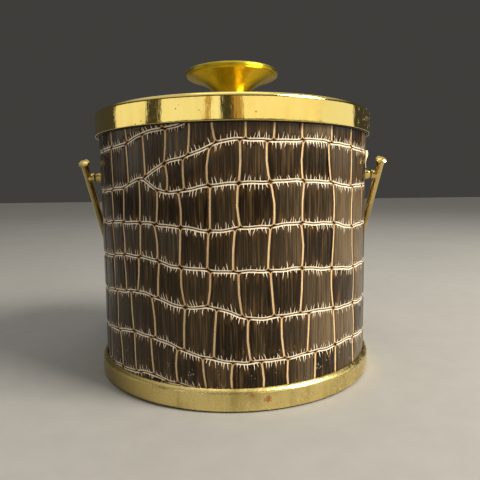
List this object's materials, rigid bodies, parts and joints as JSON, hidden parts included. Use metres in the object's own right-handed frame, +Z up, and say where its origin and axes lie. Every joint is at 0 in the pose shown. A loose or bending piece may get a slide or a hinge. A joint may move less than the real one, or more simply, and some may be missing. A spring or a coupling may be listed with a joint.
{
  "type": "ice bucket",
  "caption": "Insulated round ice bucket with a padded reptile-grain wrap, brass base band, a lift-off brass lid with a flared knob and a swinging bail.",
  "frame": {"origin": "centre of the underside, where the bucket stands", "axes": "+Z up through the knob; the front faces -Y; the bail turns about a line along X"},
  "size_m": [0.2358, 0.2041, 0.2116],
  "materials": {
    "felt": "pressed black felt",
    "satin_brass": "satin, tarnished, with pits and fine scratches",
    "polished_brass": "mirror polish with light wear and pitting",
    "knob_brass": "turned and polished, slightly mottled",
    "hardware_brass": "polished, tarnished in the corners",
    "plated_steel": "zinc plated",
    "embossed_vinyl": "glossy reptile-grain embossed vinyl, dark brown with tan creases",
    "hardboard": "pressed hardboard",
    "foam": "expanded polystyrene foam",
    "liner_plastic": "moulded dark brown plastic",
    "seal_rubber": "soft matt rubber"
  },
  "bodies": {
    "bucket": {"base_pad": "felt", "base_band": "satin_brass", "floor_board": "hardboard", "drum": "plated_steel", "body_wrap": "embossed_vinyl", "wall_insulation": "foam", "floor_insulation": "foam", "liner": "liner_plastic", "pivot_bush_left": "hardware_brass", "pivot_bush_right": "hardware_brass", "backing_plate_left": "plated_steel", "backing_plate_right": "plated_steel", "bush_nut_left": "plated_steel", "bush_nut_right": "plated_steel"},
    "bail": {"pivot_pin_left": "hardware_brass", "pivot_pin_right": "hardware_brass", "pivot_washer_left": "hardware_brass", "pivot_washer_right": "hardware_brass", "bail_arm_left": "hardware_brass", "bail_arm_right": "hardware_brass", "arm_button_left": "hardware_brass", "arm_button_right": "hardware_brass", "grip_plug_left": "hardware_brass", "grip_plug_right": "hardware_brass", "grip": "hardware_brass", "grip_screws": "hardware_brass"},
    "lid": {"lid_shell": "polished_brass", "lid_seal": "seal_rubber", "lid_liner": "liner_plastic", "lid_insulation": "foam", "lid_panel": "hardboard", "knob_rosette": "knob_brass", "knob": "knob_brass", "knob_screw": "plated_steel", "knob_washer": "plated_steel"}
  },
  "joints": [
    {"name": "bail_swing", "type": "hinge", "parent": "bucket", "child": "bail", "pos_m": [0, 0, 0.137], "axis": [1, 0, 0], "range_deg": [0, 278.3]},
    {"name": "lid_lift", "type": "slide", "parent": "bucket", "child": "lid", "axis": [0, 0, 1], "range_m": [0, 0.06]}
  ]
}
